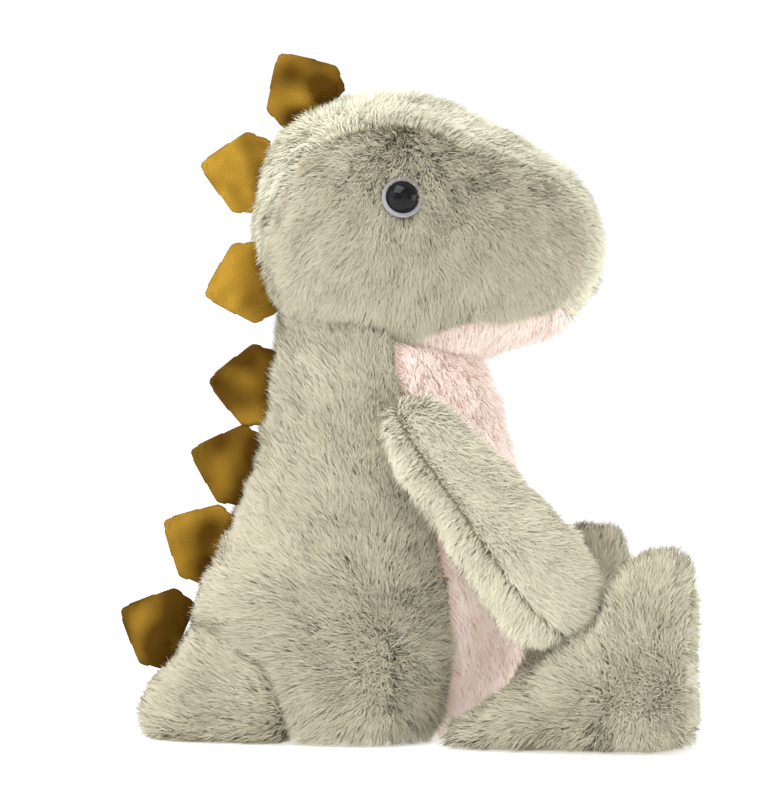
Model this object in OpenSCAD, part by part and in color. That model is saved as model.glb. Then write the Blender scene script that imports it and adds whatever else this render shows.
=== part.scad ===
// Stuffed dinosaur, sitting, facing +X with +Z up and its two sides mirrored across Y = 0.
// The origin is the middle of the flat seat. The fur outline of each part is held in short
// profiles; every solid is drawn pile_over inside that outline, where pressed fur ends.

/* [Fur and cloth] */
// How far loose fur tips stand beyond the pressed surface that the solids show
pile_over = 2; // [1:0.25:3]
// Thickness of the fur cloth, backing and pressed pile together
skin_t = 4; // [3:0.5:5]
// Room left between stuffing and the cloth around it
fill_gap = 0.4; // [0.3:0.1:0.8]

/* [Head] */
// Radius of the round back of the head
cranium_r = 55.6; // [54.6:0.2:56.6]
// How far the snout reaches past that radius
snout_len = 27; // [22:0.5:30]
// Half of the head's width
head_half_w = 50; // [46:0.5:52]
// Height of the head's centre above the seat
head_z = 190.6; // [188.6:0.2:192.6]

/* [Eyes] */
// Diameter of the domed eye
eye_d = 12.5; // [11:0.25:13.5]
// How far the dome rises above its felt ring
eye_rise = 5; // [4:0.25:6]
// Diameter of the felt ring behind the eye
ring_d = 15.2; // [14.6:0.2:16]

/* [Arms and legs] */
// Length of an arm from shoulder to paw
arm_len = 113; // [108:0.5:114]
// Angle of the arms below level
arm_droop = 52.4; // [50:0.2:54]
// Length of a leg from hip to sole
leg_len = 88; // [84:0.5:92]
// Angle of each leg away from straight ahead
leg_splay = 17; // [15:0.5:22]

/* [Back plates] */
// Thickness of a padded velvet plate
plate_t = 4.4; // [3:0.2:5]
// Height of a plate above the fur
plate_h = 22.5; // [18:0.5:23]
// Half of a plate's greatest width
plate_half_w = 15.5; // [13:0.5:15.5]

/* [Hidden] */

SAGE = [0.66, 0.64, 0.53];
PEACH = [0.92, 0.81, 0.75];
VELVET = [0.62, 0.46, 0.13];
FILL = [0.93, 0.93, 0.9];
FELT = [0.78, 0.77, 0.78];

fill_in = pile_over + skin_t + fill_gap;   // from fur outline to stuffing
seam_gap = 0.5;                            // between two panels sewn edge to edge
joint_gap = 0.8;                           // between two parts that turn on each other

// Neck: the ball of the head turns in a dish on top of the torso
head_c = [-5.8, 0, head_z];
neck_tilt = 10.4;                          // lean of the neck towards the snout
ball_r = cranium_r - pile_over;
dish_r = ball_r + joint_gap;
neck_ring_r = 38;
neck_ring_z = head_z - 39.1;
chin_room = 2.5;                           // the front of the rim is lower, for the chin to nod
plug_r = 20;                               // the stuffed neck

// Profiles of the torso: [height, value]
torso_back = [[0, -62], [5, -68], [15, -74], [30, -79.5], [45, -83.5], [60, -79.5], [80, -69],
              [100, -61.5], [120, -56.5], [138, -54], [148, -52], [158, -51]];
torso_front = [[0, 24], [5, 31], [15, 38], [30, 44], [45, 46.5], [60, 47], [80, 45],
               [100, 42], [120, 37.5], [138, 31.5], [144, 26]];
torso_wide = [[0, 40], [5, 44.5], [15, 47], [30, 49], [45, 49.5], [60, 49.5], [80, 47],
              [100, 44.5], [120, 42.5], [140, 40], [151, 38]];
torso_pinch = [[0, 0.45], [15, 0.52], [30, 0.45], [45, 0.3], [60, 0.12], [80, 0], [150, 0]];
belly_edge = [[0, 60], [15, 61], [30, 62], [60, 67], [100, 75], [138, 84], [150, 84]];
wide_x = -14;                              // where the torso is widest
seat_t = 2.5;                              // thickness of the seat panel

// Bean bag: the lens where two spheres cross
bean_r = 36;
bean_apart = 27;

// Tail: turns about an upright line inside its round root
tail_x = -58;
tail_root_r = 30;
tail_root_h = 43;
tail_cut_x = -65.6;                        // the root's round face ends here, behind the side panels
tail_top = [[58, 44], [75, 44], [84, 43], [90, 35], [95, 28], [101, 24], [105, 15]];
tail_wide = [[58, 30], [66, 29], [75, 27], [85, 24], [95, 19], [101, 14], [105, 6]];

// Arms: profiles along the arm, half height and half thickness
shoulder = [-13.5, -48.5, 130.8];
arm_out = 9;                               // the arm leans this far out from the body
arm_table_len = 113;                       // the length that these profiles are drawn for
arm_high = [[0, 2.5], [4, 7.5], [13, 12.5], [28, 16.5], [43, 18.8], [58, 20.4], [73, 21.5],
            [85, 21.6], [96, 18], [106, 11.5], [112, 3]];
arm_thick = [[0, 2.5], [4, 6], [13, 9.5], [28, 12], [43, 14], [58, 15.5], [73, 16.5],
             [85, 16.5], [96, 14], [106, 9], [112, 2.5]];

// Legs: profiles along the leg, top of the fur and half width
hip = [11, -44.5, 0];
leg_table_len = 92;                        // the length that these profiles are drawn for
leg_lining = 3.6;                          // the leg's lining is this much thicker underneath
leg_top = [[-7, 7], [0, 11], [5, 14], [15, 19], [28, 26.5], [38, 34], [49, 44.5], [60, 56.5],
           [66, 65], [70, 71], [76, 76], [84, 74], [90, 66], [92, 62]];
leg_wide = [[-7, 5], [0, 12], [15, 17], [28, 20], [49, 24], [70, 25], [80, 25], [88, 23.5],
            [92, 21]];
leg_low = [[-7, 4], [0, 1.5], [10, 0], [76, 0], [86, 4], [92, 9]];
sole_t = 3;

// Plates: [x, z] of the root's middle on the fur outline, and the angle it points at
plates = [[-37.2, 239, 122], [-57.3, 212.4, 170], [-56.1, 173.7, 196], [-54.2, 132.4, 173.5],
          [-61.6, 101.4, 162], [-73.8, 71, 151], [-89.5, 39.3, 155]];
plate_root = 1.4;                         // the root edge, just clear of the fur outline
plate_base_half = 14;
plate_shoulder_h = 7.5;
plate_corner_r = 3.4;

// Eyes
eye_at = [-9.6, -48.1, 204.2];
eye_up = 16;                               // how far the eye looks up
eye_sink = 2.2;                            // how far the ring sits under the fur outline
ring_t = 1;
stem_r = 1.9;
stem_len = 14;
washer_r = 7;
washer_t = 1.2;

// ---- Helpers: grids of points made into closed solids ----

function flat(g) = [for (r = g) each r];
function power(c, p) = sign(c) * pow(abs(c), p);
function reversed(f) = [for (t = f) [t[2], t[1], t[0]]];

function net(rows, cols, first, wrap) =
    [for (i = [0 : rows - 2]) for (j = [0 : (wrap ? cols - 1 : cols - 2)])
        let (a = first + i * cols + j, b = first + i * cols + (j + 1) % cols)
        each [[a, a + cols, b + cols], [a, b + cols, b]]];

function strip(outer, inner) =
    [for (k = [0 : len(outer) - 2])
        each [[outer[k], outer[k + 1], inner[k + 1]], [outer[k], inner[k + 1], inner[k]]]];

// A panel with thickness: two grids of the same shape and the rim between them. With tips,
// the last row closes on one point outside and one inside.
module panel(outer, inner, wrap = false, tips = []) {
    rows = len(outer);
    cols = len(outer[0]);
    n = rows * cols;
    last = n - cols;
    row0 = wrap ? [for (j = [0 : cols]) j % cols] : [for (j = [0 : cols - 1]) j];
    row1 = [for (j = row0) last + j];
    edge0 = [for (i = [rows - 1 : -1 : 0]) i * cols];
    edge1 = [for (i = [0 : rows - 1]) i * cols + cols - 1];
    far = [for (k = [len(row1) - 1 : -1 : 0]) row1[k]];
    rims = concat(strip(row0, [for (j = row0) n + j]),
                  len(tips) == 0 ? strip(far, [for (j = far) n + j]) : [],
                  wrap ? [] : strip(edge0, [for (j = edge0) n + j]),
                  wrap ? [] : strip(edge1, [for (j = edge1) n + j]));
    caps = len(tips) == 0 ? [] : [for (k = [0 : len(row1) - 2])
        each [[row1[k + 1], row1[k], 2 * n], [n + row1[k], n + row1[k + 1], 2 * n + 1]]];
    polyhedron(points = concat(flat(outer), flat(inner), tips),
               faces = concat(net(rows, cols, 0, wrap), reversed(net(rows, cols, n, wrap)),
                              rims, caps));
}

// A closed solid: rings of points, with a point to close each end on
module rounded(rings, start, end) {
    rows = len(rings);
    cols = len(rings[0]);
    n = rows * cols;
    polyhedron(points = concat(flat(rings), [start, end]),
               faces = concat(net(rows, cols, 0, true),
                              [for (j = [0 : cols - 1]) [j, (j + 1) % cols, n]],
                              [for (j = [0 : cols - 1])
                                  [n - cols + (j + 1) % cols, n - cols + j, n + 1]]));
}

module other_side() mirror([0, 1, 0]) children();

// ---- Head ----

// Distance from the head's centre to its outline, at an angle up from straight ahead
function head_outline(phi) =
    let (d = phi + 8, s = d > 0 ? 38 : 33)
    cranium_r - 1 + snout_len * exp(-pow(abs(d) / s, 2.3))
    + 4 * exp(-pow((phi - 142) / 24, 2));

// A point of the head: phi runs round its outline, side from the outline out to the cheek
function head_point(phi, side, deep) =
    let (r = (head_outline(phi) - deep) * cos(side))
    head_c + [r * cos(phi), -(head_half_w - deep) * sin(side), r * sin(phi)];

// Where the side panel begins, next to the gusset on top, the chin below and its twin behind
side_edges = [[-120, 1], [-104, 2], [-98, 26], [-80, 42], [-45, 40], [-24, 28], [5, 25],
              [30, 38], [55, 42], [100, 37], [150, 32], [178, 18], [196, 2], [240, 1]];
function side_edge(phi) = lookup(phi, side_edges);

head_cols = 44;
head_angles = [for (j = [0 : head_cols - 1]) -120 + j * 360 / head_cols];
function head_side_grid(deep) =
    [for (k = [0 : 6]) [for (phi = head_angles)
        let (e = side_edge(phi) + seam_gap / 2) head_point(phi, e + (86 - e) * k / 6, deep)]];

function head_strip_grid(deep, from, to, rows, cols, in = 1) =
    [for (i = [0 : rows]) let (phi = from + (to - from) * i / rows, e = side_edge(phi) - in)
        [for (j = [0 : cols]) head_point(phi, e - 2 * e * j / cols, deep)]];

module at_eye() translate(eye_at) rotate([90 - eye_up, 0, 0]) children();

module head_side_right() color(SAGE) difference() {
    panel(head_side_grid(pile_over), head_side_grid(pile_over + skin_t), wrap = true,
          tips = [head_point(0, 90, pile_over), head_point(0, 90, pile_over + skin_t)]);
    at_eye() translate([0, 0, -eye_sink - 0.1]) cylinder(r = ring_d / 2 + 0.5, h = 12, $fn = 48);
    at_eye() translate([0, 0, -20]) cylinder(r = stem_r + 0.3, h = 30, $fn = 32);
}
module head_side_left() other_side() head_side_right();

module head_gusset() color(SAGE)
    panel(head_strip_grid(pile_over, -23, 192, 28, 6),
          head_strip_grid(pile_over + skin_t, -23, 192, 28, 6));

module chin_panel() color(PEACH)
    panel(head_strip_grid(pile_over, -101, -24, 10, 6),
          head_strip_grid(pile_over + skin_t, -101, -24, 10, 6));

module head_stuffing() color(FILL) difference() {
    rounded([for (k = [-6 : 6]) [for (j = [0 : 27]) head_point(j * 360 / 28, k * 13.5, fill_in + 0.9)]],
            head_point(0, -90, fill_in + 0.6), head_point(0, 90, fill_in + 0.6));
    eye_room();
    other_side() eye_room();
}

module eye_room() at_eye() {
    translate([0, 0, -9.4]) cylinder(r = washer_r + 0.5, h = 12, $fn = 48);
    translate([0, 0, -eye_sink - ring_t - stem_len]) cylinder(r = stem_r + 0.4, h = 20, $fn = 32);
}

// Eye: a moulded dome with the stem that its washer locks on
module eye_right() color([0.02, 0.02, 0.02]) at_eye() translate([0, 0, ring_t - eye_sink]) {
    dome_r = (pow(eye_d / 2, 2) + pow(eye_rise, 2)) / (2 * eye_rise);
    intersection() {
        translate([0, 0, eye_rise - dome_r]) sphere(r = dome_r, $fn = 48);
        cylinder(r = eye_d / 2 + 1, h = eye_rise + 1, $fn = 48);
    }
    translate([0, 0, -stem_len]) cylinder(r = stem_r, h = stem_len + 0.5, $fn = 32);
}
module eye_left() other_side() eye_right();

module eye_ring_right() color(FELT) at_eye() translate([0, 0, -eye_sink]) difference() {
    cylinder(r = ring_d / 2, h = ring_t, $fn = 48);
    translate([0, 0, -1]) cylinder(r = stem_r + 0.2, h = 4, $fn = 32);
}
module eye_ring_left() other_side() eye_ring_right();

module eye_washer_right() color([0.85, 0.85, 0.83]) at_eye() translate([0, 0, -9]) difference() {
    cylinder(r = washer_r, h = washer_t, $fn = 48);
    translate([0, 0, -1]) cylinder(r = stem_r + 0.05, h = 4, $fn = 32);
}
module eye_washer_left() other_side() eye_washer_right();

// ---- Torso ----

module along_neck() translate(head_c) rotate([0, neck_tilt, 0]) children();

function neck_rim(theta) = neck_ring_z - neck_ring_r * tan(neck_tilt) * cos(theta)
                           - chin_room * pow(max(0, cos(theta)), 2);

// A point of the torso: theta turns round it from straight ahead, v climbs it from 0 to 1
function torso_point(theta, v, deep, drop = 0) =
    let (base = seat_t + 0.2, h = base + v * (neck_rim(theta) - base - drop), ahead = cos(theta) > 0,
         reach = ahead ? lookup(h, torso_front) - wide_x : wide_x - lookup(h, torso_back),
         side = lookup(h, torso_wide) * (1 - (ahead ? lookup(h, torso_pinch) * cos(theta) : 0)))
    [wide_x + (reach - deep) * cos(theta), (side - deep) * sin(theta), h];

climb = [0, 0.03, 0.08, 0.14, 0.21, 0.3, 0.4, 0.52, 0.64, 0.76, 0.86, 0.93, 1];

function side_grid(deep, drop) =
    [for (v = climb) let (e = lookup(v * 150, belly_edge) + seam_gap / 2)
        [for (j = [0 : 14]) torso_point(-179.7 + (179.7 - e) * j / 14, v, deep, drop)]];

function belly_grid(deep, drop) =
    [for (v = climb) let (e = lookup(v * 150, belly_edge) - seam_gap / 2)
        [for (j = [0 : 10]) torso_point(-e + 2 * e * j / 10, v, deep, drop)]];

module tail_socket(grow) translate([tail_x, 0, -1])
    cylinder(r = tail_root_r + joint_gap + grow, h = tail_root_h + 2.8, $fn = 64);

module torso_side_right() color(SAGE) difference() {
    panel(side_grid(pile_over, 0), side_grid(pile_over + skin_t, 5));
    tail_socket(0);
}
module torso_side_left() other_side() torso_side_right();

module belly_panel() color(PEACH)
    panel(belly_grid(pile_over, 0), belly_grid(pile_over + skin_t, 5));

module seat_panel() color(SAGE) difference() {
    linear_extrude(height = seat_t)
        polygon([for (j = [0 : 47]) let (p = torso_point(j * 7.5, 0, pile_over)) [p[0], p[1]]]);
    tail_socket(0);
}

module torso_stuffing() color(FILL) difference() {
    rounded([for (v = climb) [for (j = [0 : 31])
                let (p = torso_point(j * 11.25, v, fill_in + 0.5, 6)) p + [0, 0, 0.6]]],
            [wide_x, 0, seat_t + 0.8], [wide_x, 0, neck_ring_z - 7]);
    translate(head_c) sphere(r = dish_r + 0.4, $fn = 96);
    along_neck() translate([0, 0, -75]) cylinder(r = plug_r + 0.6, h = 40, $fn = 64);
    tail_socket(0.4);
    bean_shape(bean_r + fill_gap);
}

// Pellets in a round pouch, low in the torso, that keep it sitting
module bean_shape(r) translate([-1, 0, 19]) intersection() {
    translate([0, 0, -bean_apart]) sphere(r = r, $fn = 96);
    translate([0, 0, bean_apart]) sphere(r = r, $fn = 96);
}
module bean_bag() color([0.8, 0.78, 0.72]) bean_shape(bean_r);

module neck_stuffing() color(FILL) difference() {
    along_neck() translate([0, 0, -74]) cylinder(r = plug_r, h = 30, $fn = 64);
    translate(head_c) sphere(r = dish_r, $fn = 96);
}

// ---- Tail ----

// A point of the tail: back is the distance behind the origin, alpha turns about its length
function tail_point(back, alpha, deep) =
    let (top = lookup(back, tail_top) - deep, low = deep < 3 ? 0.4 : deep - 2)
    [-back, -(lookup(back, tail_wide) - deep) * power(cos(alpha), 0.7),
     (top + low) / 2 + (top - low) / 2 * power(sin(alpha), 0.7)];

tail_steps = [66, 71, 76, 81, 86, 90, 94, 98, 101, 103];
function tail_grid(deep, turn) =
    [for (b = tail_steps) [for (j = [0 : 12]) tail_point(b, turn + 0.4 + j * 179.2 / 12, deep)]];

module tail_side_right() color(SAGE)
    panel(tail_grid(pile_over, -90), tail_grid(pile_over + skin_t, -90));
module tail_side_left() other_side() tail_side_right();

module tail_stuffing() color(FILL) union() {
    intersection() {
        translate([tail_x, 0, 3]) cylinder(r = tail_root_r, h = tail_root_h - 2.6, $fn = 64);
        translate([tail_cut_x, -50, -1]) cube([60, 100, 60]);
    }
    rounded([for (b = [62, 66, 71, 76, 81, 86, 90, 94, 97]) [for (j = [0 : 19])
                tail_point(b, j * 18, fill_in + 0.4)]],
            [-61, 0, 20], [-98, 0, 12]);
}

// ---- Arms ----

function along_arm(s) = s * arm_len / arm_table_len;
function arm_point(s, alpha, deep) =
    [s, (lookup(s, arm_thick) - deep) * cos(alpha), (lookup(s, arm_high) - deep) * sin(alpha)];

arm_steps = [3.5, 7, 13, 21, 32, 45, 58, 73, 84, 91, 97, 103, 107, 110];
fill_steps = [13, 21, 32, 45, 58, 73, 84, 91, 97, 101];

function arm_grid(deep, from, turn, steps = arm_steps) =
    [for (s = steps) [for (j = [0 : 9]) arm_point(along_arm(s), from + turn * j / 9, deep)]];

module at_shoulder() translate(shoulder) rotate([0, arm_droop, 0]) rotate([0, 0, -arm_out])
    children();

// The outer panel faces away from the body and the inner panel wraps round its lower edge
module arm_outer_right() color(SAGE) at_shoulder()
    panel(arm_grid(pile_over, 80, 129), arm_grid(pile_over + skin_t, 80, 129));
module arm_outer_left() other_side() arm_outer_right();

module arm_inner_right() color(SAGE) at_shoulder()
    panel(arm_grid(pile_over, 210, 229), arm_grid(pile_over + skin_t, 210, 229));
module arm_inner_left() other_side() arm_inner_right();

module arm_stuffing_right() color(FILL) at_shoulder()
    rounded([for (s = fill_steps) [for (j = [0 : 15])
                arm_point(along_arm(s), j * 22.5, fill_in + 0.3)]],
            [along_arm(11), 0, 0], [along_arm(102), 0, 0]);
module arm_stuffing_left() other_side() arm_stuffing_right();

// ---- Legs ----

function along_leg(d) = d * leg_len / leg_table_len;
function leg_point(d, alpha, deep) =
    let (top = lookup(d, leg_top) - deep, low = max(0.4, lookup(d, leg_low) + deep - 1.6)
         + (deep > 3 ? leg_lining : 0))
    [along_leg(d), (lookup(d, leg_wide) - deep) * power(cos(alpha), 0.8),
     (top + low) / 2 + (top - low) / 2 * power(sin(alpha), 0.8)];

leg_steps = [-6, -3, 1, 7, 15, 24, 33, 42, 52, 62, 70, 77, 83, 86.8];

function leg_grid(deep, from) =
    [for (d = leg_steps) [for (j = [0 : 10])
        leg_point(d, from + seam_gap / 2 + j * (180 - seam_gap) / 10, deep)]];

module at_hip() translate(hip) rotate([0, 0, -leg_splay]) children();

module leg_outer_right() color(SAGE) at_hip()
    panel(leg_grid(pile_over, 90), leg_grid(pile_over + skin_t, 90));
module leg_outer_left() other_side() leg_outer_right();

module leg_inner_right() color(SAGE) at_hip()
    panel(leg_grid(pile_over, -90), leg_grid(pile_over + skin_t, -90));
module leg_inner_left() other_side() leg_inner_right();

// The flat oval sole closes the foot
module foot_sole_right() color(SAGE) at_hip() translate([along_leg(87.2), 0, 0])
    rotate([90, 0, 90]) linear_extrude(height = sole_t)
        polygon([for (j = [0 : 31]) let (p = leg_point(87.2, j * 11.25, pile_over + 0.6)) [p[1], p[2]]]);
module foot_sole_left() other_side() foot_sole_right();

module leg_stuffing_right() color(FILL) at_hip()
    rounded([for (d = [7, 15, 24, 33, 42, 52, 62, 70, 77, 83, 86]) [for (j = [0 : 15])
                leg_point(d, j * 22.5, fill_in)]],
            [along_leg(6), 0, 8], [along_leg(86.2), 0, 36]);
module leg_stuffing_left() other_side() leg_stuffing_right();

// ---- Back plates ----

// The outline of a plate: a wide arrowhead with each corner rounded, on its root edge
plate_corners = [[-plate_base_half, plate_root], [plate_base_half, plate_root],
                 [plate_half_w, plate_shoulder_h], [0, plate_h], [-plate_half_w, plate_shoulder_h]];

function unit(v) = v / norm(v);
// Points of the arc that rounds corner b between its neighbours a and c
function corner_arc(a, b, c, r) =
    let (u = unit(a - b), w = unit(c - b), half = acos(u * w) / 2,
         centre = b + unit(u + w) * r / sin(half),
         start = b + u * r / tan(half) - centre, turn = 180 - 2 * half)
    [for (k = [0 : 4]) let (t = turn * k / 4)
        centre + [start[0] * cos(t) - start[1] * sin(t), start[0] * sin(t) + start[1] * cos(t)]];

function plate_outline() = [for (k = [0 : 4]) each corner_arc(plate_corners[(k + 4) % 5],
    plate_corners[k], plate_corners[(k + 1) % 5], k < 2 ? 1.5 : plate_corner_r)];

module back_plate(k) color(VELVET) translate([plates[k][0], 0, plates[k][1]])
    rotate([0, 90 - plates[k][2], 0]) rotate([90, 0, 0]) translate([0, 0, -plate_t / 2])
        linear_extrude(height = plate_t) polygon(plate_outline());

torso_side_right();
torso_side_left();
belly_panel();
seat_panel();
torso_stuffing();
bean_bag();
neck_stuffing();
head_side_right();
head_side_left();
head_gusset();
chin_panel();
head_stuffing();
eye_right();
eye_left();
eye_ring_right();
eye_ring_left();
eye_washer_right();
eye_washer_left();
arm_outer_right();
arm_outer_left();
arm_inner_right();
arm_inner_left();
arm_stuffing_right();
arm_stuffing_left();
leg_outer_right();
leg_outer_left();
leg_inner_right();
leg_inner_left();
foot_sole_right();
foot_sole_left();
leg_stuffing_right();
leg_stuffing_left();
tail_side_right();
tail_side_left();
tail_stuffing();
back_plate(0);  // back_plate_1
back_plate(1);  // back_plate_2
back_plate(2);  // back_plate_3
back_plate(3);  // back_plate_4
back_plate(4);  // back_plate_5
back_plate(5);  // back_plate_6
back_plate(6);  // back_plate_7
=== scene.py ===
# %% [markdown]
# # A stuffed dinosaur in short fur
# A plush toy is cloth with pile, sewn from flat panels and pushed round by its stuffing. What the
# eye reads is the pile, not the cloth. So each soft part here is a smooth skin a few millimetres
# under the outline of the fur, and the pile is real geometry that grows out of it: thin blades
# that lean along the nap, gather into tufts and part at the seams. The part's frame gives the
# bodies and joints that everything rides on.

import math

import bpy
import numpy as np
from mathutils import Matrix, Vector


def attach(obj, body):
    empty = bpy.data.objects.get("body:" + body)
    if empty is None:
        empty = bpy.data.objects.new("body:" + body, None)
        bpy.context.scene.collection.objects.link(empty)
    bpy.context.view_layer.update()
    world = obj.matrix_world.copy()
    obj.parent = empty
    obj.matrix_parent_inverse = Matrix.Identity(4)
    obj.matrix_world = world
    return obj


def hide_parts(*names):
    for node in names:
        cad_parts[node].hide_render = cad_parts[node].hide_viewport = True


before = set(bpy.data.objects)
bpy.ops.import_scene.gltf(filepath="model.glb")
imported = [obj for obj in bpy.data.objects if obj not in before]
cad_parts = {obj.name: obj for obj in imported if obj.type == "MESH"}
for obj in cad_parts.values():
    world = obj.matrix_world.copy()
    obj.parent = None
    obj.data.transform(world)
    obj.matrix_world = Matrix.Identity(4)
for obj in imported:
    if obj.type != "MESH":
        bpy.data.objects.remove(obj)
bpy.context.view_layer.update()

MM = 0.001
SIDES = {"right": -1.0, "left": 1.0}   # the toy faces +X, so its right side is -Y


# %% [markdown]
# ## Stage, camera and light
# The toy sits on a pale floor with white all round it. A long lens from a little behind its right
# side keeps the outline flat. One wide soft light above and one low fill leave hardly any shadow,
# which is what makes short fur look soft.

# %% Stage, camera and light
def area_light(name, place, target, size, power):
    """A square soft light at place, turned to face target."""
    data = bpy.data.lights.new(name, "AREA")
    data.shape = "SQUARE"
    data.size = size
    data.energy = power
    lamp = bpy.data.objects.new(name, data)
    bpy.context.scene.collection.objects.link(lamp)
    lamp.location = place
    lamp.rotation_euler = (Vector(target) - Vector(place)).to_track_quat("-Z", "Y").to_euler()


def make_camera(azimuth, elevation, distance, target, lens):
    """A camera at azimuth and elevation in degrees from target, looking at it."""
    turn, tilt = math.radians(azimuth), math.radians(elevation)
    flat = math.cos(tilt)
    away = Vector((math.sin(turn) * flat, -math.cos(turn) * flat, math.sin(tilt)))
    data = bpy.data.cameras.new("camera")
    data.lens = lens
    data.dof.use_dof = False
    camera = bpy.data.objects.new("camera", data)
    bpy.context.scene.collection.objects.link(camera)
    camera.location = Vector(target) + away * distance
    camera.rotation_euler = (-away).to_track_quat("-Z", "Y").to_euler()
    bpy.context.scene.camera = camera


make_camera(-8, 2.2, 1.5, (-0.0078, 0, 0.1302), 181)
area_light("sky", (-0.45, -0.45, 1.25), (0, 0, 0.1), 1.1, 17)
area_light("front", (0.3, -1.5, 0.4), (0, 0, 0.12), 1.2, 2.4)
area_light("ahead", (1.3, -0.35, 0.12), (0.02, 0, 0.12), 0.9, 7)
area_light("behind", (-1.1, -0.2, 0.5), (0, 0, 0.13), 1.0, 3.2)

scene = bpy.context.scene
scene.view_settings.view_transform = "Standard"
world = bpy.data.worlds.new("studio")
scene.world = world
world.use_nodes = True
sky_nodes = world.node_tree.nodes
sky_nodes["Background"].inputs["Color"].default_value = (1, 1, 1, 1)
sky_nodes["Background"].inputs["Strength"].default_value = 0.62
backdrop = sky_nodes.new("ShaderNodeBackground")
backdrop.inputs["Color"].default_value = (1, 1, 1, 1)
backdrop.inputs["Strength"].default_value = 1.05
choose = sky_nodes.new("ShaderNodeMixShader")
seen = sky_nodes.new("ShaderNodeLightPath")
world.node_tree.links.new(seen.outputs["Is Camera Ray"], choose.inputs[0])
world.node_tree.links.new(sky_nodes["Background"].outputs[0], choose.inputs[1])
world.node_tree.links.new(backdrop.outputs[0], choose.inputs[2])
world.node_tree.links.new(choose.outputs[0], sky_nodes["World Output"].inputs["Surface"])


# %% [markdown]
# ## Small tools
# Surfaces are worked out as whole arrays. A mesh is filled from those arrays in one go, which is
# the only way to make over half a million blades of pile in a few seconds.

# %% Small tools
def unit(v):
    """Each row of v, scaled to length one."""
    return v / np.maximum(np.linalg.norm(v, axis=-1, keepdims=True), 1e-12)


def curve(table, at):
    """The value at a place in a table of (position, value) pairs, linear between them."""
    x, y = np.array(table, float).T
    return np.interp(at, x, y)


def ease(x):
    """0 to 1 with flat ends: 3x^2 - 2x^3."""
    x = np.clip(x, 0, 1)
    return x * x * (3 - 2 * x)


def ripple(points, size, seed, waves=12):
    """Soft random waves of about the given size: the mean of sines in random directions."""
    rng = np.random.default_rng(seed)
    ways = unit(rng.normal(size=(waves, 3)))
    ways = ways * (2 * np.pi / size) * rng.uniform(0.7, 1.4, (waves, 1))
    return np.sin(points @ ways.T + rng.uniform(0, 6.3, waves)).sum(-1) / math.sqrt(waves / 2)


def fill_mesh(name, points, corners, sizes, smooth=True):
    """A mesh object from arrays: points, the corner list of its faces, and corners per face."""
    mesh = bpy.data.meshes.new(name)
    mesh.vertices.add(len(points))
    mesh.vertices.foreach_set("co", np.ascontiguousarray(points, np.float32).ravel())
    mesh.loops.add(len(corners))
    mesh.loops.foreach_set("vertex_index", corners.astype(np.int32))
    mesh.polygons.add(len(sizes))
    starts = np.concatenate([[0], np.cumsum(sizes)[:-1]]).astype(np.int32)
    mesh.polygons.foreach_set("loop_start", starts)
    mesh.polygons.foreach_set("use_smooth", np.full(len(sizes), smooth))
    mesh.update(calc_edges=True)
    piece = bpy.data.objects.new(name, mesh)
    bpy.context.scene.collection.objects.link(piece)
    return piece


def ring_skin(name, rings):
    """A closed skin: rings joined by quads, each end closed by a fan, faces turned outwards."""
    rows, cols = rings.shape[:2]
    points = np.concatenate([rings.reshape(-1, 3), rings[:1].mean(1), rings[-1:].mean(1)])
    i, j = np.meshgrid(np.arange(rows - 1), np.arange(cols), indexing="ij")
    a, b = i * cols + j, i * cols + (j + 1) % cols
    quads = np.stack([a, b, b + cols, a + cols], -1).reshape(-1, 4)
    k = np.arange(cols)
    n, last = rows * cols, (rows - 1) * cols
    start = np.stack([(k + 1) % cols, k, np.full(cols, n)], -1)
    end = np.stack([last + k, last + (k + 1) % cols, np.full(cols, n + 1)], -1)
    tris = np.concatenate([start, end])
    p = points - points.mean(0)
    volume = (np.cross(p[quads[:, 0]], p[quads[:, 1]]) * p[quads[:, 2]]).sum()
    if volume < 0:
        quads, tris = quads[:, ::-1], tris[:, ::-1]
    corners = np.concatenate([quads.ravel(), tris.ravel()])
    sizes = np.concatenate([np.full(len(quads), 4), np.full(len(tris), 3)])
    piece = fill_mesh(name, points * MM, corners, sizes)
    print(name, len(quads), "quads")
    return piece


# %% [markdown]
# ## Shader groups
# Two effects are shared. The first colours pile from root to tip: dark where light is trapped
# near the backing, pale at the tip, a little different from blade to blade and tuft to tuft, and
# darker with painted shade beside seams and other parts. The second is a fine weave, for cloth
# that has no pile.

# %% Shader groups
def new_group(name, inputs, outputs):
    """A shader node group with named float or colour inputs and outputs."""
    group = bpy.data.node_groups.new(name, "ShaderNodeTree")
    for label, kind, value in inputs:
        socket = group.interface.new_socket(label, in_out="INPUT", socket_type="NodeSocket" + kind)
        socket.default_value = value
    for label, kind in outputs:
        group.interface.new_socket(label, in_out="OUTPUT", socket_type="NodeSocket" + kind)
    return group, group.nodes.new("NodeGroupInput"), group.nodes.new("NodeGroupOutput")


def math_node(tree, kind, first, second):
    """A Math node fed by sockets or numbers."""
    node = tree.nodes.new("ShaderNodeMath")
    node.operation = kind
    for slot, value in enumerate((first, second)):
        if isinstance(value, (int, float)):
            node.inputs[slot].default_value = value
        else:
            tree.links.new(value, node.inputs[slot])
    return node.outputs[0]


def mix_color(tree, factor, first, second):
    """A colour Mix node fed by sockets or colours."""
    node = tree.nodes.new("ShaderNodeMix")
    node.data_type = "RGBA"
    for label, value in (("Factor_Float", factor), ("A_Color", first), ("B_Color", second)):
        socket = next(s for s in node.inputs if s.identifier == label)
        if isinstance(value, (int, float, tuple)):
            socket.default_value = value
        else:
            tree.links.new(value, socket)
    return next(s for s in node.outputs if s.identifier == "Result_Color")


def noise_node(tree, vector, scale, detail=3.0):
    """Noise over vector, about 0 to 1."""
    node = tree.nodes.new("ShaderNodeTexNoise")
    node.inputs["Scale"].default_value = scale
    node.inputs["Detail"].default_value = detail
    tree.links.new(vector, node.inputs["Vector"])
    return node.outputs["Fac"]


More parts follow.
